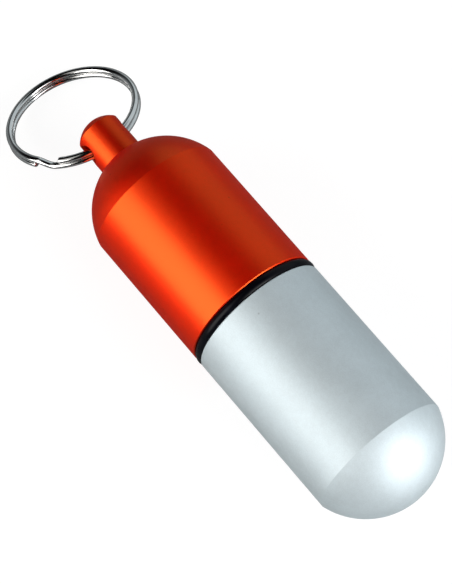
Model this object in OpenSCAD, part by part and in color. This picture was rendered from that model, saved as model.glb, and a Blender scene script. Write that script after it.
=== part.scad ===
// Waterproof capsule for a key ring: a turned shell and a turned screw cap with a seal between them.
// It lies on its side. +X runs along the capsule towards the split ring and +Z is up. The origin is
// the middle of the box round the whole object, on the surface that it lies on.
// Places along the capsule are counted from the shell's shoulder, the face that the seal sits on.

/* [Barrel] */
// Outside diameter of the shell and the cap
barrel_d = 26; // [22:0.5:34]
// Straight length of the shell, from its shoulder to its dome
shell_len = 32.8; // [20:0.2:60]
// Height of the shell's dome
shell_dome_h = 9.65; // [6:0.05:10.5]
// Straight length of the cap, from its rim to its dome
cap_len = 27.1; // [16:0.1:50]
// Height of the cap's dome up to its crown, where the neck hides it
cap_dome_h = 10.45; // [7:0.05:10.6]
// Bevel on the shell's shoulder and on the cap's rim
edge_break = 0.15; // [0.05:0.05:0.4]

/* [Walls and bores] */
// Wall of the threaded spigot, under its thread
spigot_wall = 0.9; // [0.6:0.1:2]
// Wall of the cap above its thread
cap_wall = 2.6; // [1.8:0.1:4.5]
// Least metal between the shell's bore and the tip of its dome
shell_crown_wall = 2.5; // [1.5:0.1:5]
// Least metal between the cap's bore and the crown of its dome
cap_crown_wall = 3.4; // [2:0.1:6]
// Angle of the point that the drill leaves at the bottom of each bore
drill_angle = 118; // [100:1:140]

/* [Thread] */
// Length of the spigot, from the shoulder to its tip
spigot_len = 7.8; // [6:0.1:12]
// Travel of the cap in one turn
pitch = 1.5; // [1.5:0.05:2]
// Depth of the thread, from crest to root
thread_depth = 0.5; // [0.3:0.05:0.55]
// Slope of the thread's flanks, from a plane across the capsule
flank_angle = 30; // [20:1:32]
// Gap between the crests of one thread and the roots of the other
thread_clear = 0.15; // [0.1:0.05:0.3]
// Gap between the flanks of the two threads, along the capsule
flank_clear = 0.15; // [0.05:0.05:0.3]
// Plain wall left at each end of a thread
thread_margin = 0.15; // [0.05:0.05:0.5]
// Angle over which a thread fades into its wall at each end
fade_angle = 60; // [30:5:120]
// Room left past the spigot's tip in the part of the cap that is bored out for its thread
spigot_room = 2.66; // [1.5:0.02:5]
// Groove left at the end of the cap's thread, for the tool to run out
tool_groove = 1; // [0.5:0.1:2]
// Bevel at the tip of the spigot and at the mouth of the cap
lead_in = 0.3; // [0.1:0.05:0.4]

/* [Seal] */
// Height of the seal as it is squeezed between shoulder and rim
seal_h = 1.86; // [1.4:0.02:2]
// Width of the squeezed seal, from its inside to its outside
seal_w = 2.15; // [2.05:0.05:2.6]
// How far the seal bulges out past the barrel
seal_proud = 0.1; // [0:0.05:0.3]
// Gap between the seal and the spigot inside it
seal_clear = 0.05; // [0.02:0.01:0.1]

/* [Neck] */
// Diameter of the neck
neck_d = 8.45; // [7.6:0.05:12]
// Straight length of the neck above the crown of the cap's dome
neck_len = 6.64; // [5:0.02:12]
// Height of the low dome on the neck's end
neck_dome_h = 2.06; // [0.5:0.02:3.5]
// Metal between the mouth of the ring's hole and the edge of the low dome
hole_margin = 0.6; // [0.2:0.05:2]
// How much the hole widens at each mouth
mouth_flare = 0.2; // [0.05:0.05:0.4]
// How deep each widened mouth is
mouth_depth = 0.6; // [0.2:0.1:1]

/* [Split ring] */
// How far the split ring keeps inside the barrel's width, on each side
ring_inset = 0.25; // [0:0.05:1.5]
// Width of the wire, measured along the ring's radius
wire_w = 1.35; // [0.8:0.05:1.6]
// Thickness of the wire, measured along the ring's axis
wire_h = 0.9; // [0.7:0.05:1.2]
// Rounding of the wire's corners
wire_round = 0.4; // [0.1:0.05:0.4]
// Gap between the two turns
turn_gap = 0.42; // [0.42:0.02:0.8]
// Angle round the ring at which the wire cranks over from one layer to the other
crank_at = 122; // [100:1:140]
// Stretch of the ring that the crank takes
crank_span = 16; // [12:1:24]
// Angle left between the crank and the end of the wire in the lower layer
lower_end_gap = 2; // [0:1:6]
// Angle left between the crank and the end of the wire in the upper layer
upper_end_gap = 5; // [2:1:10]
// How far the wire lies off the hole's axis, towards the cap
ring_slack = 0.5; // [0:0.05:0.8]
// Room left round the wire in the hole
ring_play = 0.28; // [0.2:0.02:0.6]
// How far the ring has slid sideways through the hole
ring_shift = 0.3; // [0:0.05:0.35]
// Height of the ring's far side over the surface, where the tight hole holds it up
ring_lift = 1.2; // [0:0.1:6]

/* [Hidden] */
$fn = 96;
// Overrun that makes a cut come out cleanly
cut = 0.5;
// Steps of the swept wire in one turn of the ring, and of a thread in one turn
turn_steps = 60;
thread_steps = 48;
// How deep a thread's foot is sunk into the wall that carries it
foot_depth = 0.2;
// Half steps, each way, that the gap between the turns is measured over
gap_reach = 4;

barrel_r = barrel_d / 2;
neck_r = neck_d / 2;

// Radius of the sphere that makes a dome of height h on a circle of radius r
function dome_r(r, h) = (r * r + h * h) / (2 * h);
// Height of the point that a drill leaves in a bore of radius r
function point_h(r) = r / tan(drill_angle / 2);

// The seal fills the step between the barrel and the spigot, so the spigot takes its size from it
seal_outer_r = barrel_r + seal_proud;
seal_inner_r = seal_outer_r - seal_w;
seal_mid_r = (seal_inner_r + seal_outer_r) / 2;
spigot_r = seal_inner_r - seal_clear;
spigot_bore_r = spigot_r - spigot_wall;
thread_bore_r = spigot_r + thread_depth + thread_clear;
cap_bore_r = min(barrel_r - cap_wall, thread_bore_r - lead_in);

// Places along the capsule, from the shell's tip to the neck's
shell_tip = -shell_len - shell_dome_h;
shell_bore_tip = shell_tip + shell_crown_wall;
cap_rim = seal_h;
cap_crease = cap_rim + cap_len;
cap_crown = cap_crease + cap_dome_h;
cap_bore_tip = cap_crown - cap_crown_wall;
cap_thread_end = spigot_len + spigot_room;
neck_crease = cap_crown + neck_len;

// Half the width of a thread's ridge at height h over its wall, so that the two threads fill the pitch
gap_mid = (thread_depth + thread_clear) / 2;
function ridge_half(h) = (pitch / 2 - flank_clear) / 2 + (gap_mid - h) * tan(flank_angle);
ridge_end = ridge_half(0) + thread_margin;

// The split ring: two layers of wire with a gap between them
ring_r = barrel_r - ring_inset;
wire_mid_r = ring_r - wire_w / 2;
layer_step = wire_h + turn_gap;
ring_h = layer_step + wire_h;

// The hole clears the wire at every angle, at the middle of the neck and at its mouths
mouth_at = neck_r + ring_shift;
mouth_rise = wire_mid_r - sqrt(wire_mid_r * wire_mid_r - mouth_at * mouth_at);
wire_off = max(ring_slack, mouth_rise - ring_slack);
hole_r = norm([wire_off + wire_w / 2, ring_h / 2]) + ring_play;
hole_at = neck_crease - hole_margin - mouth_flare - hole_r;

// The ring swings down about the hole until its far side is at its lift over the surface
axis_h = seal_outer_r;
ring_reach = wire_mid_r - ring_slack;
far_side = ring_reach + ring_r - wire_round;
half_side = ring_h / 2 - wire_round;
far_corner = norm([far_side, half_side]);
drop = axis_h - ring_lift - wire_round;
ring_dip = asin(min(1, drop / far_corner)) - atan(half_side / far_side);
ring_end = hole_at + far_side * cos(ring_dip) + half_side * sin(ring_dip) + wire_round;
box_middle = (shell_tip + ring_end) / 2;

// Lays down along the capsule's own axis what is drawn upright
module along() {
    translate([-box_middle, 0, axis_h]) rotate([0, 90, 0]) children();
}

// Turns a half outline about the capsule's own axis
module turned() {
    along() rotate_extrude() children();
}

// Half outline of a dome of height h that stands on a circle of radius r, at the place given
module dome_outline(r, h, place) {
    intersection() {
        translate([0, place]) square([r, h]);
        translate([0, place + h - dome_r(r, h)]) circle(r = dome_r(r, h));
    }
}

// Half outline of a drilled bore of radius r, from its pointed bottom to its mouth
module bore_outline(r, tip, mouth) {
    foot = tip + sign(mouth - tip) * point_h(r);
    polygon([[0, tip], [r, foot], [r, mouth], [0, mouth]]);
}

// A closed solid through rings of points that follow each other
module swept(rings) {
    count = len(rings[0]);
    last = count * (len(rings) - 1);
    sides = [for (n = [0:count:last - count], c = [0:count - 1]) let (d = (c + 1) % count)
        each [[n + c, n + count + d, n + d], [n + c, n + count + c, n + count + d]]];
    ends = [for (c = [1:count - 2]) each [[0, c, c + 1], [last, last + c + 1, last + c]]];
    polyhedron(points = [for (r = rings) each r], faces = concat(sides, ends));
}

// One unbroken ridge on a right-hand helix, from one place along the capsule to another. It stands out
// from a wall of radius r where side is 1 and in from it where side is -1, and fades out at both ends.
module thread(r, side, from_place, to_place, shift) {
    span = 360 * (to_place - from_place) / pitch;
    steps = ceil(span * thread_steps / 360);
    swept([for (i = [steps:-1:0]) let (
        a = span * i / steps,
        place = from_place + pitch * a / 360,
        round_to = 360 * (place - shift) / pitch,
        t = min(1, a / fade_angle, (span - a) / fade_angle),
        crest = (thread_depth + foot_depth / 2) * t * t * (3 - 2 * t) - foot_depth / 2)
        [for (corner = [[-foot_depth, -1], [crest, -1], [crest, 1], [-foot_depth, 1]]) let (
            out = r + side * corner[0],
            up = place + side * corner[1] * ridge_half(corner[0]))
            [out * cos(round_to), out * sin(round_to), up]]]);
}

module shell_outline() {
    polygon([[0, -shell_len], [barrel_r, -shell_len], [barrel_r, -edge_break],
             [barrel_r - edge_break, 0], [0, 0]]);
    mirror([0, 1]) dome_outline(barrel_r, shell_dome_h, shell_len);
    polygon([[0, -edge_break], [spigot_r, -edge_break], [spigot_r, spigot_len - lead_in],
             [spigot_r - lead_in, spigot_len], [0, spigot_len]]);
}

module lower_shell() {
    color("silver") union() {
        turned() difference() {
            shell_outline();
            bore_outline(spigot_bore_r, shell_bore_tip, spigot_len + cut);
        }
        along() thread(spigot_r, 1, seal_h + ridge_end, spigot_len - lead_in - ridge_end, 0);
    }
}

module seal_ring() {
    color("dimgray") turned() intersection() {
        translate([seal_inner_r, 0]) square([seal_w, seal_h]);
        translate([seal_mid_r, seal_h / 2]) circle(d = seal_w);
    }
}

module cap_outline() {
    difference() {
        union() {
            polygon([[0, cap_rim], [barrel_r - edge_break, cap_rim], [barrel_r, cap_rim + edge_break],
                     [barrel_r, cap_crease], [0, cap_crease]]);
            dome_outline(barrel_r, cap_dome_h, cap_crease);
            translate([0, cap_crease]) square([neck_r, neck_crease - cap_crease]);
            dome_outline(neck_r, neck_dome_h, neck_crease);
        }
        bore_outline(cap_bore_r, cap_bore_tip, cap_rim - cut);
        polygon([[0, cap_rim - cut], [thread_bore_r + lead_in, cap_rim - cut],
                 [thread_bore_r + lead_in, cap_rim], [thread_bore_r, cap_rim + lead_in],
                 [thread_bore_r, cap_thread_end], [cap_bore_r, cap_thread_end + thread_bore_r - cap_bore_r],
                 [0, cap_thread_end + thread_bore_r - cap_bore_r]]);
    }
}

// The cross hole for the split ring, with both mouths widened
module ring_hole() {
    translate([hole_at - box_middle, 0, axis_h]) rotate([90, 0, 0]) {
        cylinder(r = hole_r, h = neck_d + 2 * cut, center = true);
        for (side = [0, 1]) mirror([0, 0, side]) translate([0, 0, neck_r - mouth_depth])
            cylinder(r1 = hole_r, r2 = hole_r + mouth_flare * (mouth_depth + cut) / mouth_depth,
                     h = mouth_depth + cut);
    }
}

module cap() {
    color("orangered") {
        difference() {
            turned() cap_outline();
            ring_hole();
        }
        along() thread(thread_bore_r, -1, cap_rim + lead_in + ridge_end,
                       cap_thread_end - tool_groove - ridge_end, pitch / 2);
    }
}

// Section of the wire: a rectangle with rounded corners, as [out along the radius, up the ring's axis]
corner_w = wire_w / 2 - wire_round;
corner_h = wire_h / 2 - wire_round;
wire_section = [for (quarter = [0:3], part = [0:2]) let (a = 90 * quarter + 45 * part)
    [(quarter == 0 || quarter == 3 ? 1 : -1) * corner_w + wire_round * cos(a),
     (quarter < 2 ? 1 : -1) * corner_h + wire_round * sin(a)]];

// The wire runs backwards round the ring from its end in the lower layer to its end in the upper one
crank_top = crank_at - 360 - crank_span / 2;
crank_foot = crank_at - 360 + crank_span / 2;
wire_start = crank_at - crank_span / 2 - lower_end_gap;
wire_end = crank_at - 720 + crank_span / 2 + upper_end_gap;
wire_steps = ceil((wire_start - wire_end) / (360 / turn_steps));

function wire_angle(i) = wire_start + (wire_end - wire_start) * i / wire_steps;
// Rises smoothly from 0 in the lower layer to 1 in the upper layer
function climbed(a) = let (t = max(0, min(1, (crank_foot - a) / (crank_foot - crank_top))))
    t * t * (3 - 2 * t);
function wire_ring(a) = let (lift = (climbed(a) - 1 / 2) * layer_step)
    [for (p = wire_section) [(wire_mid_r + p[0]) * cos(a), (wire_mid_r + p[0]) * sin(a), lift + p[1]]];

wire_rings = [for (i = [0:wire_steps]) wire_ring(wire_angle(i))];

// The least gap of the wire to itself, between each step and the wire a full turn further on
half_step = 360 / turn_steps / 2;
least_gap = min([for (i = [0:wire_steps], k = [-gap_reach:gap_reach])
    let (a = wire_angle(i) - 360 + k * half_step) if (a >= wire_end)
        for (p = wire_rings[i], q = wire_ring(a)) norm(p - q)]);
echo(split_ring_least_gap_mm = least_gap, turns = (wire_start - wire_end) / 360, ring_dip = ring_dip);

module split_ring() {
    color("lightgray") translate([hole_at - box_middle, 0, axis_h]) rotate([0, ring_dip, 0])
        translate([ring_reach, ring_shift, 0]) swept(wire_rings);
}

lower_shell();
seal_ring();
cap();
split_ring();
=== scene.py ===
import math

import bpy
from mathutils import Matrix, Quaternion, Vector


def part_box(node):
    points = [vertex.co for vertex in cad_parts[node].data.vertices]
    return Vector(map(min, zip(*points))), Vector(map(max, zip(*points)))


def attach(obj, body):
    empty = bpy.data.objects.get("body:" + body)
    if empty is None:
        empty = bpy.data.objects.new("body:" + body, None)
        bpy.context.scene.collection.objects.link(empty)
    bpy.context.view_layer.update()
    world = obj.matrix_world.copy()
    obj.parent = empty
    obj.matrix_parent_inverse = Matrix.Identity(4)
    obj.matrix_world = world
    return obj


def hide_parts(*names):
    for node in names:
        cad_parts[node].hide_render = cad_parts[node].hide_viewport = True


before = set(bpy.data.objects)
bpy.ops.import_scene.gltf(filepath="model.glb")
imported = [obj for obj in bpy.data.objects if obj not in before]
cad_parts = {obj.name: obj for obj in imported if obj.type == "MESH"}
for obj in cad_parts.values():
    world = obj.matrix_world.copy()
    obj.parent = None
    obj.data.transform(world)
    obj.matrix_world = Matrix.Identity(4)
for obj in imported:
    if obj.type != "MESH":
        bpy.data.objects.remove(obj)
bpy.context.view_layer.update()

MM = 0.001

# Places that the pieces share, in metres
AXIS_H = sum(corner.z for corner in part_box("seal_ring")) / 2
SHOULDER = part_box("seal_ring")[0].x
HOLE = (SHOULDER + 43.3536 * MM, 0, AXIS_H)


# Node trees

class Link:
    """A socket in a node tree. Arithmetic on it adds Math nodes to the tree."""

    def __init__(self, tree, socket):
        self.tree = tree
        self.socket = socket

    def math(self, operation, *others):
        inputs = dict(enumerate((self, *others)))
        return self.tree.node("ShaderNodeMath", inputs, operation=operation)

    def __add__(self, other):
        return self.math("ADD", other)

    __radd__ = __add__

    def __mul__(self, other):
        return self.math("MULTIPLY", other)

    def __sub__(self, other):
        return self.math("SUBTRACT", other)

    def __rsub__(self, other):
        return self.tree.node("ShaderNodeMath", {0: other, 1: self}, operation="SUBTRACT")

    def __truediv__(self, other):
        return self.math("DIVIDE", other)

    def within(self, low, high, to_low=0.0, to_high=1.0):
        """Goes smoothly from to_low at low to to_high at high."""
        return self.tree.node("ShaderNodeMapRange", {
            "Value": self, "From Min": low, "From Max": high,
            "To Min": to_low, "To Max": to_high}, interpolation_type="SMOOTHSTEP")

    def swing(self, amount):
        """Noise that goes up and down about nothing, amount from end to end."""
        return (self - 0.5) * amount


class Tree:
    """A node tree of any kind, which gives every new node as the link of one of its outputs."""

    def __init__(self, nodes):
        self.nodes = nodes

    def node(self, kind, inputs=None, out=0, **settings):
        """Adds a node. Its inputs go by name or number, and its settings by name."""
        made = self.nodes.nodes.new(kind)
        for name, value in settings.items():
            setattr(made, name, value)
        for name, value in (inputs or {}).items():
            self.plug(value, made.inputs[name])
        return Link(self, made.outputs[out]) if len(made.outputs) else made

    def plug(self, value, socket):
        """Links a socket, or sets its value. A colour may come without its alpha."""
        if isinstance(value, Link):
            self.nodes.links.new(value.socket, socket)
        elif isinstance(value, tuple) and len(value) < len(socket.default_value):
            socket.default_value = (*value, 1)
        else:
            socket.default_value = value

    def parts(self, vector):
        """The X, Y and Z of a vector."""
        split = self.node("ShaderNodeSeparateXYZ", {0: vector}).socket.node
        return [Link(self, socket) for socket in split.outputs]

    def joined(self, x, y, z):
        """The vector of an X, a Y and a Z."""
        return self.node("ShaderNodeCombineXYZ", {0: x, 1: y, 2: z})

    def noise(self, vector, size, detail):
        """Noise whose lumps are about size across, in metres."""
        return self.node("ShaderNodeTexNoise", {
            "Vector": vector, "Scale": 1 / size, "Detail": detail, "Roughness": 0.5})

    def mix(self, factor, first, second):
        """A colour between two colours."""
        return self.node("ShaderNodeMix", {0: factor, 6: first, 7: second}, out=2,
                         data_type="RGBA")


def material(name):
    """A new material and its empty tree."""
    made = bpy.data.materials.new(name)
    made.use_nodes = True
    made.node_tree.nodes.clear()
    return made, Tree(made.node_tree)


def on_axis(tree):
    """Object coordinates with the capsule's axis as their own X axis."""
    place = tree.node("ShaderNodeTexCoord", out="Object")
    return tree.node("ShaderNodeVectorMath", {0: place, 1: (0, 0, AXIS_H)}, operation="SUBTRACT")


# Finishes

# Pinholes lie about this far apart. The radius of a hole's floor and of its rim are shares of it.
PINHOLE_SPACING = 5.5 * MM
PINHOLE_FLOOR = 0.028
PINHOLE_RIM = 0.045


def satin_metal(name, base, metallic, rough, bump, coat=None, skin=None):
    """Anodised metal: grain from the blasting, soft clouds, a few pinholes with painted shade in
    their floors, faint turning marks.

    A dye is deep where light goes down into its pores, and paler where the skin above it gives
    the light back. coat is a clear coat's weight and roughness, and skin is that skin's colour,
    roughness and share.
    """
    made, tree = material(name)
    place = on_axis(tree)
    grain = tree.noise(place, size=0.2 * MM, detail=2)
    mottle = tree.noise(place, size=0.9 * MM, detail=3)
    cloud = tree.noise(place, size=7 * MM, detail=2)
    away = tree.node("ShaderNodeTexVoronoi", {"Vector": place, "Scale": 1 / PINHOLE_SPACING},
                     feature="F1")
    pinhole = away.within(PINHOLE_FLOOR, PINHOLE_RIM, 1, 0)

    # Turning marks run round the axis, so they change along it and with the radius
    along, across, up = tree.parts(place)
    radius = (across * across + up * up).math("SQRT")
    mark = tree.noise(tree.joined(along, radius, 0.0), size=0.12 * MM, detail=1)

    shade = cloud.swing(0.5) + mottle.swing(0.35) + grain.swing(0.5) + 0.5
    darker, paler, painted_pit_shade = (tuple(min(1, c * much) for c in base) for much in (0.93, 1.05, 0.45))
    color = tree.mix(shade.within(0.25, 0.75), darker, paler)
    # Painted shade: the floor of each pinhole is painted darker, as shade in the pit
    color = tree.mix(pinhole * 0.35, color, painted_pit_shade)
    roughness = rough + cloud.swing(0.05) + mottle.swing(0.06) + pinhole * 0.1
    height = grain * 0.7 + mark * 0.3 - pinhole * 0.8
    normal = tree.node("ShaderNodeBump", {
        "Strength": bump, "Distance": 0.01 * MM, "Height": height})

    looks = {"Base Color": color, "Metallic": metallic, "Roughness": roughness, "Normal": normal}
    if coat:
        weight, coat_rough = coat
        looks.update({"Coat Weight": weight, "Coat Roughness": coat_rough, "Coat IOR": 1.6})
    surface = tree.node("ShaderNodeBsdfPrincipled", looks)
    if skin:
        skin_color, skin_rough, share = skin
        above = tree.node("ShaderNodeBsdfPrincipled", {
            "Base Color": skin_color, "Metallic": 1.0, "Roughness": skin_rough, "Normal": normal})
        surface = tree.node("ShaderNodeMixShader", {0: share, 1: surface, 2: above})
    tree.node("ShaderNodeOutputMaterial", {"Surface": surface})
    return made


def orange_anodised():
    return satin_metal("orange_anodised", base=(0.86, 0.002, 0.0004), metallic=1.0, rough=0.58,
                       bump=0.16, skin=((1.0, 0.75, 0.13), 0.35, 0.07))


def clear_anodised():
    return satin_metal("clear_anodised", base=(0.622, 0.696, 0.728), metallic=0.73, rough=0.67,
                       bump=0.10, coat=(0.14, 0.28))


def seal_rubber():
    """Black rubber: pebbled from its mould, with a faint bloom in broad patches."""
    made, tree = material("seal_rubber")
    place = on_axis(tree)
    pebble = tree.noise(place, size=0.25 * MM, detail=3)
    bloom = tree.noise(place, size=4 * MM, detail=2)
    color = tree.mix(bloom.within(0.4, 0.75), (0.0015, 0.0015, 0.003), (0.004, 0.004, 0.007))
    normal = tree.node("ShaderNodeBump", {
        "Strength": 0.12, "Distance": 0.02 * MM, "Height": pebble})
    surface = tree.node("ShaderNodeBsdfPrincipled", {
        "Base Color": color, "Roughness": 0.28 + bloom.swing(0.12), "IOR": 1.2,
        "Normal": normal})
    tree.node("ShaderNodeOutputMaterial", {"Surface": surface})
    return made


def ring_nickel():
    """Nickel plate: nearly polished, with fine drawn lines and a slight unevenness."""
    made, tree = material("ring_nickel")
    place = tree.node("ShaderNodeTexCoord", out="Object")
    along = tree.node("ShaderNodeAttribute", out="Fac", attribute_name="along")
    around = tree.node("ShaderNodeAttribute", out="Fac", attribute_name="around")
    # The wire was drawn through a die, so its fine lines run along it
    stretched = 0.04
    line = tree.noise(tree.joined(along * stretched, around, 0.0), size=0.09 * MM, detail=2)
    wave = tree.noise(place, size=1.6 * MM, detail=2)
    color = tree.mix(wave.within(0.3, 0.7), (0.71, 0.71, 0.704), (0.79, 0.792, 0.786))
    surface = tree.node("ShaderNodeBsdfPrincipled", {
        "Base Color": color, "Metallic": 1.0,
        "Roughness": 0.13 + line.swing(0.02) + wave.swing(0.04)})
    tree.node("ShaderNodeOutputMaterial", {"Surface": surface})
    return made


# The split ring: one wire in two turns, which cranks over from one layer to the other

# Angles round the ring, in degrees
TURN = 360
CRANK_AT = 122
HALF_CRANK = 8
LOWER_END_GAP = 2
UPPER_END_GAP = 5

# What the geometry tree takes, in metres and radians
RING = {
    "Ring radius": 12.075 * MM,
    "Wire width": 1.35 * MM,
    "Wire thickness": 1.12 * MM,
    "Layer step": 1.13 * MM,
    "End rounding": 0.28 * MM,
    "End taper": 0.45,
    "Start": math.radians(CRANK_AT - HALF_CRANK - LOWER_END_GAP),
    "End": math.radians(CRANK_AT - 2 * TURN + HALF_CRANK + UPPER_END_GAP),
    "Crank foot": math.radians(CRANK_AT - TURN + HALF_CRANK),
    "Crank top": math.radians(CRANK_AT - TURN - HALF_CRANK),
    "Steps": 900,
    "Sides": 32,
}
# How strongly the steps crowd towards the wire's ends, which are rounded
END_CROWDING = 0.13

# The ring's middle from the hole, and how far the ring slants down from level
RING_CENTRE = (11.575 * MM, 0.3 * MM, 0)
RING_DIP = math.radians(27.0155)


def ring_tree(finish):
    """Sweeps the wire's section along the path of the wire's middle line."""
    nodes = bpy.data.node_groups.new("split_ring_wire", "GeometryNodeTree")
    tree = Tree(nodes)
    nodes.interface.new_socket("Geometry", in_out="OUTPUT", socket_type="NodeSocketGeometry")
    for name, value in RING.items():
        kind = "NodeSocketInt" if isinstance(value, int) else "NodeSocketFloat"
        nodes.interface.new_socket(name, in_out="INPUT", socket_type=kind)
    entry = nodes.nodes.new("NodeGroupInput")
    size = {s.name: Link(tree, s) for s in entry.outputs if s.name}

    def stored(geometry, name, value):
        """The geometry with a number kept on each of its points."""
        return tree.node("GeometryNodeStoreNamedAttribute", {
            "Geometry": geometry, "Name": name, "Value": value},
            data_type="FLOAT", domain="POINT")

    # The path of the wire's middle line
    index = tree.node("GeometryNodeInputIndex")
    part = index / (size["Steps"] - 1)
    part = part - (part * math.tau).math("SINE") * END_CROWDING
    angle = size["Start"] + (size["End"] - size["Start"]) * part
    climbed = angle.within(size["Crank top"], size["Crank foot"], 1.0, 0.0)
    middle = tree.joined(size["Ring radius"] * angle.math("COSINE"),
                         size["Ring radius"] * angle.math("SINE"),
                         (climbed - 0.5) * size["Layer step"])
    points = tree.node("GeometryNodeMeshLine", {"Count": size["Steps"], "Offset": (0, 0, 0)})
    points = tree.node("GeometryNodeSetPosition", {"Geometry": points, "Position": middle})
    path = tree.node("GeometryNodeMeshToCurve", {"Mesh": points})
    path = tree.node("GeometryNodeSetCurveNormal", {"Curve": path}, mode="Z_UP")
    along = tree.node("GeometryNodeSplineParameter", out="Length")
    path = stored(path, "along", along)

    # The wire's ends are rounded, so the section shrinks along a quarter circle
    from_end = along.math("MINIMUM", tree.node("GeometryNodeSplineLength") - along)
    short_of = 1 - (from_end / size["End rounding"]).math("MINIMUM", 1.0)
    taper = 1 - (1 - (1 - short_of * short_of).math("SQRT")) * size["End taper"]

    # The wire is rolled to an oval
    section = tree.node("GeometryNodeCurvePrimitiveCircle", {
        "Resolution": size["Sides"], "Radius": 0.5})
    oval = tree.joined(size["Wire width"], size["Wire thickness"], 1.0)
    section = tree.node("GeometryNodeTransform", {"Geometry": section, "Scale": oval})
    around = tree.node("GeometryNodeSplineParameter", out="Length")
    section = stored(section, "around", around)

    wire = tree.node("GeometryNodeCurveToMesh", {
        "Curve": path, "Profile Curve": section, "Scale": taper, "Fill Caps": True})
    wire = tree.node("GeometryNodeSetShadeSmooth", {"Geometry": wire, "Shade Smooth": True},
                     domain="FACE")
    wire = tree.node("GeometryNodeTransform", {"Geometry": wire, "Translation": RING_CENTRE})
    wire = tree.node("GeometryNodeTransform", {
        "Geometry": wire, "Rotation": (0, RING_DIP, 0), "Translation": HOLE})
    wire = tree.node("GeometryNodeRealizeInstances", {"Geometry": wire})
    wire = tree.node("GeometryNodeSetMaterial", {"Geometry": wire, "Material": finish})
    tree.node("NodeGroupOutput", {"Geometry": wire})
    return nodes


def grown(name, nodes, values):
    """The plain mesh that a geometry tree gives, as a new object."""
    holder = bpy.data.objects.new(name, bpy.data.meshes.new(name))
    bpy.context.scene.collection.objects.link(holder)
    modifier = holder.modifiers.new("tree", "NODES")
    modifier.node_group = nodes
    for item in nodes.interface.items_tree:
        if item.in_out == "INPUT":
            modifier[item.identifier] = values[item.name]
    bpy.context.view_layer.update()
    seen = holder.evaluated_get(bpy.context.evaluated_depsgraph_get())
    mesh = bpy.data.meshes.new_from_object(seen)
    holder.modifiers.remove(modifier)
    holder.data = mesh
    mesh.name = name
    return holder


def dress(node, finish):
    """Gives a CAD node its finish."""
    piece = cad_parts[node]
    piece.data.materials.clear()
    piece.data.materials.append(finish)


dress("cap", orange_anodised())
dress("lower_shell", clear_anodised())
dress("seal_ring", seal_rubber())

wire = grown("split_ring_wire", ring_tree(ring_nickel()), RING)
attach(wire, "ring")
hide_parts("split_ring")


# Studio

def softbox(name, azimuth, height_angle, distance, width, height, radiance, tint, roll=0.0):
    """A rectangular lamp that faces the object. Its reflection is as bright as radiance."""
    light = bpy.data.lights.new(name, "AREA")
    light.shape = "RECTANGLE"
    light.size = width
    light.size_y = height
    light.energy = radiance * math.pi * width * height
    light.color = tint
    lamp = bpy.data.objects.new(name, light)
    bpy.context.scene.collection.objects.link(lamp)
    turn, rise = math.radians(azimuth), math.radians(height_angle)
    away = Vector((math.cos(turn) * math.cos(rise), math.sin(turn) * math.cos(rise),
                   math.sin(rise)))
    lamp.location = away * distance
    facing = away.to_track_quat("Z", "Y") @ Quaternion((0, 0, 1), math.radians(roll))
    lamp.rotation_euler = facing.to_euler()
    lamp.visible_camera = False


# Angles in degrees, lengths in metres
LAMPS = {
    "key_softbox": {
        "azimuth": 78.9, "height_angle": 26.0, "distance": 0.62, "width": 0.521, "height": 0.561,
        "radiance": 4.33, "tint": (1.0, 0.985, 0.96)},
    "top_softbox": {
        "azimuth": 60.8, "height_angle": 56.3, "distance": 0.60, "width": 0.55, "height": 0.217,
        "radiance": 0.579, "tint": (1.0, 0.985, 0.96), "roll": -10.0},
    "end_softbox": {
        "azimuth": -165.0, "height_angle": 22.0, "distance": 0.62, "width": 0.42, "height": 1.0,
        "radiance": 1.5, "tint": (1.0, 0.985, 0.98)},
    "end_core": {
        "azimuth": -165.0, "height_angle": 20.0, "distance": 0.60, "width": 0.4, "height": 0.5,
        "radiance": 5.2, "tint": (1.0, 0.985, 0.98)},
}
for name, lamp in LAMPS.items():
    softbox(name, **lamp)

BLACK = (0.0, 0.0, 0.0)
WHITE = (1.0, 1.0, 1.0)

# The room as the metal shows it. The camera sees white in its place.
SIDE_WALL = (0.568, 0.629, 0.655)
LOW_GLOW = (0.24, 0.26, 0.27)
GREY_FLOOR = (0.254, 0.272, 0.279)
# The wall stands in the directions whose Y is below its start, and whose X and slanted Y add up
# to less than nothing. Each of its two edges is soft to either side.
WALL_START = -0.026
WALL_START_SOFT = 0.1
WALL_SLANT = 1.98
WALL_SLANT_SOFT = 0.3
# The wall darkens between these heights of a direction, from 0, level, to 1, straight up
OVERHEAD = (0.61, 0.85)
# The glow grows as a direction sinks between the first two heights, and as it turns towards the
# ring's end between the second two
GLOW_SINKS = (0.3, -0.05)
GLOW_TURNS = (0.0, 0.4)

# Half of the floor's side, in metres
FLOOR_HALF = 3.0
# How much the floor gives off and sends back near the object, as the camera sees it, and between
# which distances from the object it turns to plain white
FLOOR_GLOW = 0.90
FLOOR_SHADE = 0.15
WHITE_FROM = 0.12
WHITE_BY = 0.45


def floor_material():
    made, tree = material("floor_white")
    place = tree.node("ShaderNodeTexCoord", out="Object")
    reach = tree.node("ShaderNodeVectorMath", {0: place}, out="Value", operation="LENGTH")
    seen = tree.node("ShaderNodeLightPath", out="Is Camera Ray")
    grey = tree.node("ShaderNodeBsdfDiffuse", {"Color": GREY_FLOOR})
    white = tree.node("ShaderNodeEmission", {"Color": WHITE, "Strength": 1.0})
    glow = tree.node("ShaderNodeEmission", {"Color": WHITE, "Strength": FLOOR_GLOW})
    shaded = tree.node("ShaderNodeBsdfDiffuse", {"Color": (FLOOR_SHADE,) * 3})
    near = tree.node("ShaderNodeAddShader", {0: glow, 1: shaded})
    shown = tree.node("ShaderNodeMixShader", {
        0: reach.within(WHITE_FROM, WHITE_BY), 1: near, 2: white})
    surface = tree.node("ShaderNodeMixShader", {0: seen, 1: grey, 2: shown})
    tree.node("ShaderNodeOutputMaterial", {"Surface": surface})
    return made


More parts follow.
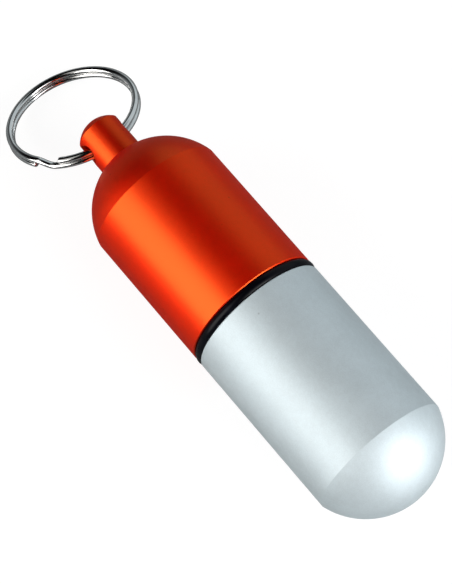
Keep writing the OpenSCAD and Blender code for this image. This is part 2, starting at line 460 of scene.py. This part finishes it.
def make_floor():
    mesh = bpy.data.meshes.new("floor")
    corners = [(-FLOOR_HALF, -FLOOR_HALF, 0), (FLOOR_HALF, -FLOOR_HALF, 0),
               (FLOOR_HALF, FLOOR_HALF, 0), (-FLOOR_HALF, FLOOR_HALF, 0)]
    mesh.from_pydata(corners, [], [(0, 1, 2, 3)])
    mesh.materials.append(floor_material())
    floor = bpy.data.objects.new("floor", mesh)
    bpy.context.scene.collection.objects.link(floor)


def make_world():
    """A pale wall along one side of the object, a low glow past its ring, and the rest black."""
    world = bpy.data.worlds.new("studio")
    world.use_nodes = True
    world.node_tree.nodes.clear()
    bpy.context.scene.world = world
    tree = Tree(world.node_tree)
    seen = tree.node("ShaderNodeLightPath", out="Is Camera Ray")
    toward, beside, up = tree.parts(tree.node("ShaderNodeTexCoord", out="Generated"))
    wall = (toward + beside * WALL_SLANT).within(WALL_SLANT_SOFT, -WALL_SLANT_SOFT)
    wall = wall * beside.within(WALL_START + WALL_START_SOFT, WALL_START - WALL_START_SOFT)
    low = up.within(*GLOW_SINKS) * toward.within(*GLOW_TURNS)
    pale = tree.mix(up.within(*OVERHEAD), SIDE_WALL, BLACK)
    room = tree.mix(wall, tree.mix(low, BLACK, LOW_GLOW), pale)
    shown = tree.mix(seen, room, WHITE)
    back = tree.node("ShaderNodeBackground", {"Color": shown, "Strength": 1.0})
    tree.node("ShaderNodeOutputWorld", {"Surface": back})


make_floor()
make_world()

# The camera was fitted to the outlines in the photo: its lens and sensor in mm, its place in
# metres, and the way it looks
LENS = 159.26
SENSOR = 36
CAMERA_PLACE = (SHOULDER - 0.13321, 0.11329, 0.42686)
CAMERA_LOOK = (0.3116, -0.2477, -0.9174)

camera = bpy.data.objects.new("camera", bpy.data.cameras.new("camera"))
bpy.context.scene.collection.objects.link(camera)
camera.data.lens = LENS
camera.data.sensor_width = SENSOR
camera.location = CAMERA_PLACE
camera.rotation_euler = Vector(CAMERA_LOOK).to_track_quat("-Z", "Y").to_euler()
bpy.context.scene.camera = camera
bpy.context.scene.view_settings.view_transform = "Standard"
